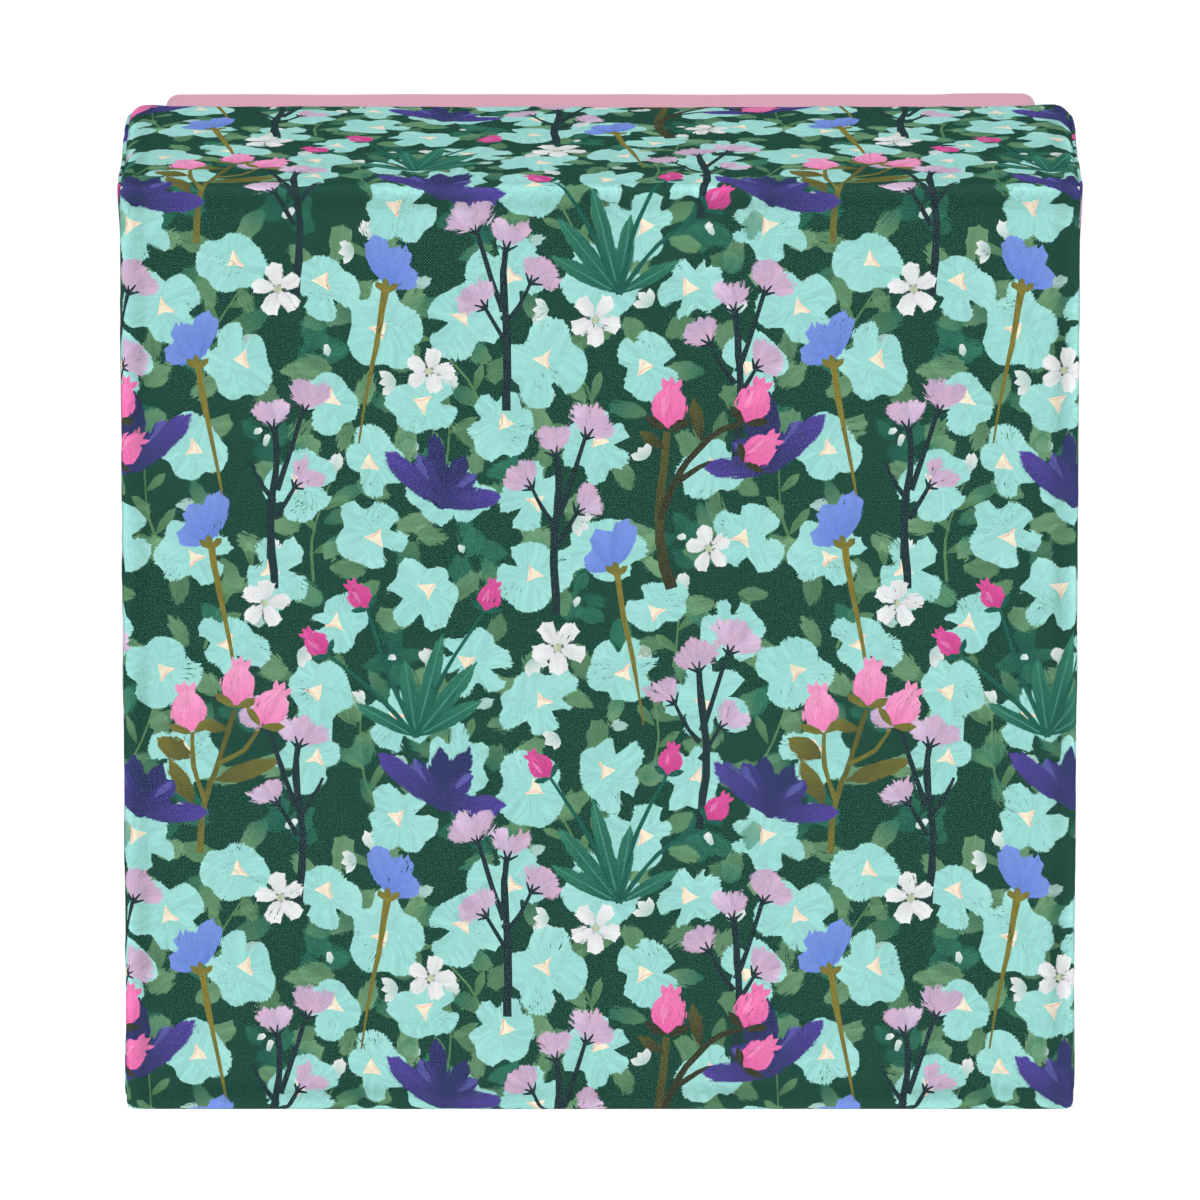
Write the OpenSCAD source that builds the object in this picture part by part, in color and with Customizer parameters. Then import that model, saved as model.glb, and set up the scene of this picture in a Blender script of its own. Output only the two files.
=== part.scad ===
// Square two-piece flower box: a padded, cloth-covered lid over a paper-wrapped base.
// Both halves are rigid boxes of greyboard panels held by kraft stays, then covered and lined.
// Origin: middle of the underside, +Z up through the lid. The front wall faces -Y.

/* [Lid] */
// Outside width and depth of the covered lid
lid_w = 160; // [120:1:220]
// Height of the covered lid, from its rim to its top
lid_h = 64; // [48:1:80]
// Rounding of the padded outer edges
edge_r = 3.2; // [2.4:0.1:3.6]

/* [Base] */
// Height of the base that shows below the lid's rim
base_show = 34; // [12:1:80]
// Clearance on each side between the base and the lid's lining
slide_gap = 0.7; // [0.4:0.1:1.5]
// Rounding of the base's upright corners
base_corner_r = 2.2; // [1:0.1:2.2]
// Height of the waterproof film tray inside the base
film_h = 70; // [30:1:80]

/* [Materials] */
// Thickness of the greyboard panels
board_t = 2; // [1.5:0.1:3]
// Thickness of the wadding under the printed cloth
padding_t = 1.2; // [1:0.1:2]
// Thickness of the printed cloth
cloth_t = 0.4; // [0.3:0.1:0.6]
// Thickness of the base's paper wrap
wrap_t = 0.4; // [0.3:0.1:0.5]
// Thickness of the lining card
liner_t = 0.3; // [0.2:0.1:0.5]
// Thickness of the waterproof film
film_t = 0.2; // [0.1:0.1:0.3]
// Thickness of the gummed kraft corner stays
stay_t = 0.2; // [0.1:0.1:0.2]

/* [Joinery] */
// Width of each leg of a corner stay
stay_leg = 14; // [8:1:20]
// Rounding of the lid boards' upright corners
lid_board_r = 1; // [0.6:0.1:1.2]
// Depth of the cloth and paper turned in over an edge
turn_in = 18; // [10:1:24]
// How far a lining stops short of a rim, and the underside sheet of an edge
liner_margin = 3; // [1:0.5:6]

/* [Hidden] */
$fn = 48;
past = 1; // how far a cutting shape runs past the face it opens

// Heights, from the underside up
total_h = base_show + lid_h;
rim_z = base_show;
lid_board_top_z = total_h - cloth_t - padding_t;
ceiling_z = lid_board_top_z - board_t;
base_top_z = ceiling_z - liner_t;
base_board_z = liner_t + wrap_t;
floor_z = base_board_z + board_t;
lid_board_z = rim_z + cloth_t;
base_board_top_z = base_top_z - wrap_t;
lid_stay_top_z = lid_board_top_z - board_t / 2;
base_stay_z = base_board_z + board_t / 2;

// Widths across the lid, from outside in
padding_w = lid_w - 2 * cloth_t;
padding_r = edge_r - cloth_t;
lid_board_w = padding_w - 2 * padding_t;
lid_inner_w = lid_board_w - 2 * board_t;
lid_turn_in_w = lid_inner_w - 2 * cloth_t;
lid_liner_w = lid_turn_in_w - 2 * liner_t;

// Widths across the base, from outside in
base_w = lid_liner_w - 2 * slide_gap;
base_board_w = base_w - 2 * wrap_t;
base_board_r = base_corner_r - wrap_t;
base_inner_w = base_board_w - 2 * board_t;
base_turn_in_w = base_inner_w - 2 * wrap_t;
base_liner_w = base_turn_in_w - 2 * liner_t;
film_inner_w = base_liner_w - 2 * film_t;

// Plain square block, centred on the axis, from z0 up to z1
module block(w, z0, z1) {
    translate([-w / 2, -w / 2, z0])
        cube([w, w, z1 - z0]);
}

// Outline of a square with rounded corners
module rounded_square(w, r) {
    square([w, w - 2 * r], center = true);
    square([w - 2 * r, w], center = true);
    for (x = [-1, 1], y = [-1, 1])
        translate([x * (w / 2 - r), y * (w / 2 - r)])
            circle(r);
}

// Square block with rounded upright corners
module column(w, r, z0, z1) {
    translate([0, 0, z0])
        linear_extrude(z1 - z0)
            rounded_square(w, r);
}

// Column whose top edges and top corners are rounded as well
module padded_block(w, r, z0, z1) {
    middle = w / 2 - r;
    column(w, r, z0, z1 - r);
    block(w - 2 * r, z0, z1);
    for (turn = [0:90:270])
        rotate(turn)
            translate([0, -middle, z1 - r]) {
                translate([-middle, 0, 0])
                    rotate([0, 90, 0])
                        cylinder(h = 2 * middle, r = r);
                translate([-middle, 0, 0])
                    sphere(r);
            }
}

// Wall panel on the front side that also covers both upright corners
module long_panel(w, r, t, z0, z1) {
    intersection() {
        column(w, r, z0, z1);
        translate([-w / 2, -w / 2, z0])
            cube([w, t, z1 - z0]);
    }
}

// Wall panel on the front side that fits between the two next to it
module short_panel(w, t, z0, z1) {
    translate([t - w / 2, -w / 2, z0])
        cube([w - 2 * t, t, z1 - z0]);
}

// Flat lining strip on the front side, trimmed at each end
module strip(w, t, trim, z0, z1) {
    translate([trim - w / 2, -w / 2, z0])
        cube([w - 2 * trim, t, z1 - z0]);
}

// Strip of gummed kraft paper folded round the front left upright corner
module corner_stay(w, r, z0, z1) {
    outer_w = w + 2 * stay_t;
    intersection() {
        difference() {
            column(outer_w, r + stay_t, z0, z1);
            column(w, r, z0 - past, z1 + past);
        }
        translate([-outer_w / 2, -outer_w / 2, z0])
            cube([stay_leg, stay_leg, z1 - z0]);
    }
}

// Turns a front wall, or a front left corner, anticlockwise by quarter turns
module quarter_turns(n) {
    rotate(90 * n)
        children();
}

// Base

module base_underside_sheet() {
    color("gainsboro")
        block(base_w - 2 * liner_margin, 0, liner_t);
}

module base_bottom_board() {
    color("darkgray")
        column(base_board_w, base_board_r, base_board_z, floor_z);
}

module base_long_board(n) {
    color("darkgray")
        quarter_turns(n)
            long_panel(base_board_w, base_board_r, board_t, floor_z, base_board_top_z);
}

module base_short_board(n) {
    color("darkgray")
        quarter_turns(n)
            short_panel(base_board_w, board_t, floor_z, base_board_top_z);
}

module base_stay(n) {
    color("peru")
        quarter_turns(n)
            corner_stay(base_board_w, base_board_r, base_stay_z, base_board_top_z);
}

module base_wrap() {
    color("pink") {
        difference() {
            column(base_w, base_corner_r, liner_t, base_top_z);
            column(base_board_w, base_board_r, base_board_z, base_board_top_z);
            block(base_w - 2 * turn_in, liner_t - past, base_board_z + past);
            block(base_turn_in_w, base_board_top_z - past, base_top_z + past);
            for (n = [0:3])
                quarter_turns(n)
                    corner_stay(base_board_w, base_board_r, base_stay_z, base_board_top_z);
        }
        difference() {
            block(base_inner_w, base_top_z - turn_in, base_top_z);
            block(base_turn_in_w, base_top_z - turn_in - past, base_top_z + past);
        }
    }
}

module base_floor_liner() {
    color("whitesmoke")
        block(base_inner_w, floor_z, floor_z + liner_t);
}

module base_liner(n) {
    color("whitesmoke")
        quarter_turns(n)
            strip(base_turn_in_w, liner_t, n % 2 * liner_t, floor_z + liner_t, base_top_z - liner_margin);
}

module base_waterproof_film() {
    film_z = floor_z + liner_t;
    color("aliceblue")
        difference() {
            block(base_liner_w, film_z, film_z + film_h);
            block(film_inner_w, film_z + film_t, film_z + film_h + past);
        }
}

// Lid

module lid_top_board() {
    color("darkgray")
        column(lid_board_w, lid_board_r, ceiling_z, lid_board_top_z);
}

module lid_long_board(n) {
    color("darkgray")
        quarter_turns(n)
            long_panel(lid_board_w, lid_board_r, board_t, lid_board_z, ceiling_z);
}

module lid_short_board(n) {
    color("darkgray")
        quarter_turns(n)
            short_panel(lid_board_w, board_t, lid_board_z, ceiling_z);
}

module lid_stay(n) {
    color("peru")
        quarter_turns(n)
            corner_stay(lid_board_w, lid_board_r, lid_board_z, lid_stay_top_z);
}

module lid_padding() {
    color("white")
        difference() {
            padded_block(padding_w, padding_r, lid_board_z, total_h - cloth_t);
            column(lid_board_w, lid_board_r, lid_board_z - past, lid_board_top_z);
            for (n = [0:3])
                quarter_turns(n)
                    corner_stay(lid_board_w, lid_board_r, lid_board_z - past, lid_stay_top_z);
        }
}

module lid_fabric_cover() {
    color("seagreen") {
        difference() {
            padded_block(lid_w, edge_r, rim_z, total_h);
            padded_block(padding_w, padding_r, lid_board_z, total_h - cloth_t);
            block(lid_turn_in_w, rim_z - past, lid_board_z + past);
        }
        difference() {
            block(lid_inner_w, rim_z, rim_z + turn_in);
            block(lid_turn_in_w, rim_z - past, rim_z + turn_in + past);
        }
    }
}

module lid_ceiling_liner() {
    color("whitesmoke")
        block(lid_inner_w, base_top_z, ceiling_z);
}

module lid_liner(n) {
    color("whitesmoke")
        quarter_turns(n)
            strip(lid_turn_in_w, liner_t, n % 2 * liner_t, rim_z + liner_margin, base_top_z);
}

base_underside_sheet();
base_bottom_board();
base_long_board(0);  // base_front_board
base_short_board(1);  // base_right_board
base_long_board(2);  // base_back_board
base_short_board(3);  // base_left_board
base_stay(0);  // base_stay_front_left
base_stay(1);  // base_stay_front_right
base_stay(2);  // base_stay_back_right
base_stay(3);  // base_stay_back_left
base_wrap();
base_floor_liner();
base_liner(0);  // base_front_liner
base_liner(1);  // base_right_liner
base_liner(2);  // base_back_liner
base_liner(3);  // base_left_liner
base_waterproof_film();
lid_top_board();
lid_long_board(0);  // lid_front_board
lid_short_board(1);  // lid_right_board
lid_long_board(2);  // lid_back_board
lid_short_board(3);  // lid_left_board
lid_stay(0);  // lid_stay_front_left
lid_stay(1);  // lid_stay_front_right
lid_stay(2);  // lid_stay_back_right
lid_stay(3);  // lid_stay_back_left
lid_padding();
lid_fabric_cover();
lid_ceiling_liner();
lid_liner(0);  // lid_front_liner
lid_liner(1);  // lid_right_liner
lid_liner(2);  // lid_back_liner
lid_liner(3);  // lid_left_liner
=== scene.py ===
"""Square flower box with a padded lid in floral-print cloth over a pink paper-wrapped base.

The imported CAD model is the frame. The boards, stays and lining cards are its own nodes with new
materials. The printed cover, the wadding, the pink wrap and the film tray are built here.

The cover starts as one flat cloth, a cross of the top and four flaps, in millimetres. Its print is cut
into that flat cloth as outlines, and then the whole cloth is folded over the padded lid.
"""

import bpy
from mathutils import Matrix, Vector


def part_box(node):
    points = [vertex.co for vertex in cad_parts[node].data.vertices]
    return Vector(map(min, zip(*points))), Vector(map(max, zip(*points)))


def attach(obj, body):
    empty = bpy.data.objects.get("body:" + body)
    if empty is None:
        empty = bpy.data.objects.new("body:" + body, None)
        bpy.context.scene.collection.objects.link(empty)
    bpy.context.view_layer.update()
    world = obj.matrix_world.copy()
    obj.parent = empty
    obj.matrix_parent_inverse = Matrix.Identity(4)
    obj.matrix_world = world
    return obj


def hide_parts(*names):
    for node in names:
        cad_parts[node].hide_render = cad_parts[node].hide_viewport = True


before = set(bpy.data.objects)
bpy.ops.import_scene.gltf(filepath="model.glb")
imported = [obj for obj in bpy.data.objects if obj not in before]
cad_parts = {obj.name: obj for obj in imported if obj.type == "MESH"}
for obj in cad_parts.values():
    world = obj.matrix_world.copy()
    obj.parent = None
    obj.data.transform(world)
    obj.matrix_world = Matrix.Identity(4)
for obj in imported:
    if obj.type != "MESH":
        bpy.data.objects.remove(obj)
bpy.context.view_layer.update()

import copy
import math
import random

import bmesh
import bpy
import numpy as np
from mathutils import Matrix, Vector, geometry
from mathutils.bvhtree import BVHTree

MM = 0.001


def mm_box(node):
    """Lowest and highest corner of a CAD node, in millimetres."""
    low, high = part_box(node)
    return np.array(low) / MM, np.array(high) / MM


# Sizes from the frame, in millimetres
COVER_LOW, COVER_HIGH = mm_box("lid_fabric_cover")
PADDING_HIGH = mm_box("lid_padding")[1]
WRAP_LOW, WRAP_HIGH = mm_box("base_wrap")
FILM_LOW, FILM_HIGH = mm_box("base_waterproof_film")
HALF = COVER_HIGH[0]                            # half the lid's width
TOP_Z = COVER_HIGH[2]
RIM_Z = COVER_LOW[2]
WALL = TOP_Z - RIM_Z                            # height of the lid's walls
CLOTH = COVER_HIGH[2] - PADDING_HIGH[2]         # thickness of the cloth
INNER = -mm_box("lid_front_board")[1][1] - 0.9 * CLOTH  # the turned-in cloth, just behind the lining
RIM_WIDTH = HALF - INNER
EDGE_R = 1.5                                    # the tight cloth rounds the top's edges
CORNER_R = 2.8                                  # the upright corners, thick with folded cloth, at the rim
BASE_CORNER_R = 0.014 * 2 * HALF


# --- Shapes on curved bodies -------------------------------------------------------------------


def unit(v):
    """Rows of v at length one."""
    return v / np.maximum(np.linalg.norm(v, axis=-1, keepdims=True), 1e-9)


def turn_about_z(points, quarter):
    """Each point turned clockwise about the upright axis by its own number of quarter turns."""
    angle = -quarter * math.pi / 2
    c, s = np.cos(angle), np.sin(angle)
    x, y, z = points.T
    return np.stack([c * x - s * y, s * x + c * y, z], axis=1)


def smooth(t):
    """0 up to t = 0, then an even rise to 1 at t = 1."""
    t = np.clip(t, 0, 1)
    return t * t * (3 - 2 * t)


def bump_at(x, centre, width):
    """A bell of height 1 at centre."""
    return np.exp(-(((x - centre) / width) ** 2))


class Ripples:
    """A sum of plane waves in random directions, for the uneven surface of padded cloth."""

    def __init__(self, seed, shortest, longest, count=10):
        rng = random.Random(seed)
        self.waves = []
        for _ in range(count):
            number = 2 * math.pi / rng.uniform(shortest, longest)
            angle = rng.uniform(0, math.pi)
            phase = rng.uniform(0, 2 * math.pi)
            self.waves.append((number * math.cos(angle), number * math.sin(angle), phase))

    def __call__(self, x, y):
        total = sum(np.sin(a * x + b * y + c) for a, b, c in self.waves)
        return total / math.sqrt(len(self.waves))


# --- The flat cloth and how it folds -----------------------------------------------------------
# A flap's own coordinates are `along`, from its middle, and `depth`, from the lid's top edge over
# the rim and up the inside. Flaps 0 and 2 (back and front) run on round the corners as tucks, and
# flaps 1 and 3 (right and left) end there in a folded edge that lies on the tucks.

TURN_IN = 18.0         # cloth turned in over the rim, most of it under the lining
TUCK = 6.0             # how far the tuck runs round the corner
CORNER_EASE = 8.0      # depth over which tuck and fold reach their full width
FOLD_INSET = 1.8       # distance of the folded edge from the corner
FOLD_ROLL = 1.2        # cloth that rolls under at the folded edge
FOLD_R = 0.3           # radius of that roll
FOLD_LIFT = 0.45       # how far the folded edge stands off the wall
FOLD_FADE = 13.0       # distance over which it settles back
RIM_OUTER_R = 1.3
RIM_INNER_R = 0.6
RIM_LAP = 0.5          # how far flaps 0 and 2 run past the mitre at the rim
INSIDE_DEPTH = WALL + RIM_WIDTH
END_DEPTH = INSIDE_DEPTH + TURN_IN

# How far the padding holds the cloth off the plain lid
CROWN = 0.55           # in the middle of the top
SWELL = 0.35           # in the middle of each wall, and along the foot of each folded corner
CREASE = 0.26          # depth of the crease along each top edge
CREASE_GAP = 3.4       # its distance from the edge
CREASE_RIDGE = 0.10    # height of the low ridge beyond it
WALL_CREASE = 0.16
CREASE_UNEVEN = 0.35

cushion_ripples = Ripples(seed=11, shortest=16, longest=46)
pucker_ripples = Ripples(seed=12, shortest=5, longest=11)
edge_ripples = Ripples(seed=13, shortest=9, longest=30)


def flap_outline(quarter):
    """The flat outline of one flap, counterclockwise, in the cloth's coordinates."""
    half = []
    for depth in [0.0] + list(np.linspace(1, CORNER_EASE, 8)) + [WALL - 0.6]:
        ease = float(smooth(depth / CORNER_EASE))
        if quarter % 2 == 0:
            half.append((HALF + TUCK * ease, depth))
        else:
            half.append((HALF - (FOLD_INSET - FOLD_ROLL) * ease, depth))
    lap = RIM_LAP if quarter % 2 == 0 else 0.0
    half.append((HALF + lap, WALL))
    half.append((INNER + lap, INSIDE_DEPTH))
    half.append((INNER, INSIDE_DEPTH + 1))
    half.append((INNER, END_DEPTH))
    outline = half + [(-along, depth) for along, depth in reversed(half)]
    points = np.array([(-a, HALF + d, 0.0) for a, d in outline])
    turned = turn_about_z(points, np.full(len(points), quarter))[:, :2]
    return [complex(x, y) for x, y in reversed(turned)]


def is_side(flap):
    """Whether a flap is the right or the left one."""
    return (flap == 1) | (flap == 3)


def depth_of(x, y):
    """How far each point of the cloth is past the lid's top edge."""
    return np.maximum(np.maximum(np.abs(x), np.abs(y)) - HALF, 0)


def flap_of(x, y):
    """Which flap each point of the cloth is on, -1 for the top."""
    on_top = (np.abs(x) <= HALF) & (np.abs(y) <= HALF)
    quarter = np.where(y > HALF, 0, np.where(y < -HALF, 2, np.where(x > HALF, 1, 3)))
    return np.where(on_top, -1, quarter)


def wall_section(depth):
    """How far out and how high the wall's face is, over the rim and up inside."""
    over = np.clip(depth - WALL, 0, RIM_WIDTH)
    out = HALF - over
    z = np.where(depth < WALL, TOP_Z - depth, RIM_Z + np.maximum(depth - INSIDE_DEPTH, 0))
    for radius, side in ((RIM_OUTER_R, 1), (RIM_INNER_R, -1)):
        centre_out = HALF - radius if side == 1 else INNER + radius
        centre_z = RIM_Z + radius
        inside = ((out - centre_out) * side > 0) & (z < centre_z)
        away = unit(np.stack([out - centre_out, z - centre_z], axis=1)) * radius
        out = np.where(inside, centre_out + away[:, 0], out)
        z = np.where(inside, centre_z + away[:, 1], z)
    return out, z


def cushion(x, y):
    """How far the cloth stands proud of the plain lid, in millimetres, from the padding under it."""
    side = flap_of(x, y)
    depth = depth_of(x, y)
    along = np.where(is_side(side), y, x)
    from_edges = (HALF - np.abs(x), HALF - np.abs(y))
    from_edge = np.minimum(*from_edges)
    uneven = 1 + CREASE_UNEVEN * edge_ripples(x, y)
    top = CROWN * (1 - (x / HALF) ** 6) * (1 - (y / HALF) ** 6)
    for gap in from_edges:
        top += CREASE_RIDGE * bump_at(gap, 5.6, 1.6) - CREASE * bump_at(gap, CREASE_GAP, 1.3) * uneven
    top += 0.06 * cushion_ripples(x, y) + 0.05 * np.exp(-from_edge / 7) * pucker_ripples(x, y)
    swell = SWELL * smooth(depth / 14) * smooth((WALL - depth) / 10)
    swell = swell * (1 - (np.minimum(np.abs(along), HALF) / HALF) ** 8)
    crease = WALL_CREASE * bump_at(depth, 3.6, 1.4) * uneven
    ripple = (0.08 * cushion_ripples(x, y) + 0.05 * pucker_ripples(x, y)) * smooth(depth / 5)
    corner = HALF - np.minimum(np.abs(along), HALF)
    fold_ease = smooth(depth / CORNER_EASE) * smooth((INSIDE_DEPTH - depth) / 3)
    lift = FOLD_LIFT * (1 - smooth((corner - FOLD_INSET) / FOLD_FADE)) * fold_ease
    flare = SWELL * smooth((depth - 30) / 30) * bump_at(corner, 0, 7) * fold_ease
    wall = (swell - crease + ripple) * smooth((INSIDE_DEPTH - depth) / 4)
    wall += np.where(is_side(side), lift, 0) + flare
    return np.where(side >= 0, wall, top * smooth(from_edge / 2.5))


def fold_plain(x, y):
    """The cloth's coordinates (mm) folded over the plain rounded lid, as points in millimetres."""
    side = flap_of(x, y)
    wall = side >= 0
    quarter = np.where(wall, side, 0)
    local = turn_about_z(np.stack([x, y, 0 * x], axis=1), -quarter)
    along, depth = local[:, 0], np.maximum(local[:, 1] - HALF, 0)
    out, z = wall_section(depth)
    round_corner = np.maximum(np.abs(along) - HALF, 0)
    tucked = wall & (depth < WALL - 0.3)
    at = np.clip(along, -out, out)
    back = np.where(tucked, np.minimum(round_corner, TUCK), 0)
    sharp = np.stack([at, out - back, z], axis=1)
    sharp[~wall] = np.stack([x, y, np.full_like(x, TOP_Z)], axis=1)[~wall]
    size = np.where(wall, out, HALF)
    corner_r = EDGE_R + (CORNER_R - EDGE_R) * smooth(depth / 30)
    radius = np.where(wall, np.maximum(size - (HALF - corner_r), 0.3), EDGE_R)
    core = np.clip(sharp[:, :2], -(size - radius)[:, None], (size - radius)[:, None])
    core_z = np.minimum(sharp[:, 2], TOP_Z - EDGE_R)
    centre = np.column_stack([core, core_z])
    away = sharp - centre
    off_centre = np.linalg.norm(away, axis=1) > 1e-6
    rounded = centre + unit(away) * radius[:, None]
    folded = np.where(off_centre[:, None], rounded, sharp)
    return turn_about_z(folded, quarter)


def roll_under(x, y):
    """Where a point of the rolled edge lies: x and y at the fold line, how far it drops, and its angle."""
    side = flap_of(x, y)
    along = np.where(is_side(side), y, x)
    depth = depth_of(x, y)
    ease = smooth(depth / CORNER_EASE)
    edge = HALF - FOLD_INSET * ease
    past = np.maximum(np.abs(along) - edge, 0)
    on_fold = is_side(side) & (past > 0) & (depth < WALL)
    angle = np.where(on_fold, np.minimum(past / FOLD_R, math.pi), 0)
    shown = np.where(on_fold, edge + FOLD_R * np.sin(angle), np.abs(along)) * np.sign(along)
    drop = np.where(on_fold, FOLD_R * (1 - np.cos(angle)), 0) * ease
    return np.where(is_side(side), x, shown), np.where(is_side(side), shown, y), drop


def slopes_to_normals(place, x, y, step=0.02):
    """Unit normals of the surface place(x, y)."""
    across = place(x + step, y) - place(x - step, y)
    up = place(x, y + step) - place(x, y - step)
    return unit(np.cross(across, up))


def keep_side(x, y):
    """x and y moved just off the lines between flaps, so that small steps stay on one flap."""
    gap = 0.03
    side = flap_of(x, y)
    depth_x = np.abs(x) - HALF
    depth_y = np.abs(y) - HALF
    x = np.where((side == -1) & (depth_x > -gap), np.sign(x) * (HALF - gap), x)
    y = np.where((side == -1) & (depth_y > -gap), np.sign(y) * (HALF - gap), y)
    x = np.where(is_side(side) & (depth_x < gap), np.sign(x) * (HALF + gap), x)
    y = np.where((side >= 0) & ~is_side(side) & (depth_y < gap), np.sign(y) * (HALF + gap), y)
    return x, y


def fold(x, y, sink=0.0):
    """The cloth's coordinates folded over the padded lid. sink puts the surface further in."""
    x, y, drop = roll_under(x, y)
    inner_x, inner_y = keep_side(x, y)
    normals = slopes_to_normals(fold_plain, inner_x, inner_y)
    stand = cushion(x, y) - drop - sink
    return fold_plain(x, y) + normals * stand[:, None]


# --- Meshes ------------------------------------------------------------------------------------


def linear(colour):
    """An sRGB colour of 0 to 255 as linear red, green and blue."""
    return [((c / 255 + 0.055) / 1.055) ** 2.4 if c > 10.31 else c / 255 / 12.92 for c in colour]


def new_object(name, data):
    made = bpy.data.objects.new(name, data)
    bpy.context.scene.collection.objects.link(made)
    return made


def new_piece(name, points, faces, material):
    """A smooth-shaded mesh object from points in millimetres."""
    mesh = bpy.data.meshes.new(name)
    mesh.from_pydata([tuple(p) for p in np.asarray(points) * MM], [], faces)
    mesh.polygons.foreach_set("use_smooth", [True] * len(mesh.polygons))
    mesh.materials.append(material)
    mesh.update()
    return new_object(name, mesh)


# --- The print ---------------------------------------------------------------------------------
# A repeat of painted flowers in layers. A shape is an outline in millimetres, with colours at its
# root and tip, and the direction in which its brush strokes run.

REPEAT_W, REPEAT_H = 106.0, 105.0
PRINT_SEED = 303
PRINT_STRENGTH = 0.76  # the inks are given as they look in the room, which lights white to about 1.3
BRUSH_ALONG = 0.5      # brush marks in a millimetre, along and across the stroke
BRUSH_ACROSS = 3.0
MARK_SHIFT = 7.0       # keeps the brush marks of two shapes apart
LOOSE = {"points": 8, "stroke": 0.25, "fringe": 0.8}    # a loose leaf dab
CRISP = {"points": 4, "rough": 0.2, "fringe": 0}        # a small ragged petal with a clean edge
GROUND = (23, 65, 52)
INKS = {
    "mint": (161, 222, 216), "mint_light": (180, 233, 229), "cream": (252, 238, 212),
    "cream_light": (255, 250, 232), "peach": (250, 214, 190), "sage": (104, 150, 108),
    "sage_light": (128, 172, 128), "teal": (28, 92, 80), "teal_leaf": (52, 122, 100),
    "teal_line": (86, 160, 140), "charcoal": (32, 42, 54), "lilac": (202, 176, 208),
    "lilac_pink": (213, 177, 204), "lilac_light": (222, 196, 222), "bud_pink": (245, 128, 188),
    "bud_light": (248, 166, 208), "olive": (118, 112, 48), "olive_dark": (92, 86, 40),
    "hot_pink": (226, 82, 162), "hot_deep": (210, 58, 142), "brown": (58, 50, 34),
    "rose": (240, 100, 172), "blue": (104, 134, 220), "blue_light": (126, 152, 230),
    "gold": (138, 124, 46), "violet": (66, 50, 134), "violet_dark": (50, 42, 104),
    "violet_bright": (86, 62, 160), "violet_light": (112, 110, 196), "white": (242, 243, 243),
    "white_shade": (228, 226, 231), "moss": (196, 204, 176), "sprig": (88, 128, 86),
    "pale_bud": (172, 206, 200),
}


def offset(outline, by):
    """The outline with each point moved outwards."""
    around = list(zip(outline[-1:] + outline[:-1], outline, outline[1:] + outline[:1]))
    counterclockwise = sum((a.conjugate() * b).imag for a, b, _ in around) > 0
    by = by if counterclockwise else -by
    return [here - 1j * (after - before) / max(abs(after - before), 1e-6) * by
            for before, here, after in around]


class Shape:
    """One painted shape. Points are complex numbers, x + y*1j, in millimetres.

    Its colour goes from root to tip, and shows what is under it where cover is below 1. Over the width
    of its fringe, the paint ends in dry brush marks. The marks run along toward, or away from the base.
    """

    def __init__(self, outline, root, tip=None, base=0j, toward=1j, length=5.0, stroke=0.1, cover=1.0,
                 fringe=0.6, radial=False):
        self.fringe = fringe
        self.outline = offset(outline, fringe / 2) if fringe else outline
        self.inner = offset(outline, -fringe / 2)[::2] if fringe else []
        self.root = np.array(linear(INKS[root]))
        self.tip = np.array(linear(INKS[tip or root]))
        self.base = base
        self.toward = toward / abs(toward)
        self.length = length
        self.stroke = stroke
        self.cover = cover
        self.radial = radial
        self.mark = MARK_SHIFT * (outline[0].real + outline[0].imag)

    def moved(self, by):
        other = copy.copy(self)
        other.outline = [p + by for p in self.outline]
        other.inner = [p + by for p in self.inner]
        other.base = self.base + by
        return other

    def seen_from_base(self, points):
        return (points - self.base) / self.toward

    def paint(self, points, under):
        """The colour at the points, over the colour under it."""
        share = np.clip(self.seen_from_base(points).real / self.length, 0, 1)[..., None]
        return under + (self.root + (self.tip - self.root) * share - under) * self.cover

    def brush(self, points):
        """Where the points are in the brush marks, which are long one way and narrow the other."""
        seen = self.seen_from_base(points)
        far = np.abs(seen)
        if self.radial:
            way = seen / np.maximum(far, 1e-6) * BRUSH_ACROSS * self.length / 2
            return np.stack([way.real, way.imag, far * BRUSH_ALONG + self.mark], axis=-1)
        return np.stack([seen.real * BRUSH_ALONG, seen.imag * BRUSH_ACROSS, 0 * far + self.mark], axis=-1)

    def edge(self, points):
        """0 at the outline to 1 where the fringe ends."""
        if not self.fringe:
            return np.ones(points.shape)
        start = np.array(self.outline)
        run = np.roll(start, -1) - start
        seen = points[..., None] - start
        share = np.clip((seen * run.conjugate()).real / np.maximum(np.abs(run) ** 2, 1e-9), 0, 1)
        return np.clip(np.abs(seen - share * run).min(axis=-1) / self.fringe, 0, 1)


def heading(degrees):
    return complex(math.cos(math.radians(degrees)), math.sin(math.radians(degrees)))


def blob(rng, centre, toward, length, width, root, tip=None, rough=0.06, points=11, **paint):
    """A rounded dab, longest along toward."""
    toward = toward / abs(toward)
    outline = []
    for i in range(points):
        t = 2 * math.pi * i / points
        wobble = 1 + rng.uniform(-rough, rough)
        outline.append(centre + toward * complex(math.cos(t) * length, math.sin(t) * width) * wobble / 2)
    return Shape(outline, root, tip, centre - toward * length / 2, toward, length, **paint)


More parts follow.
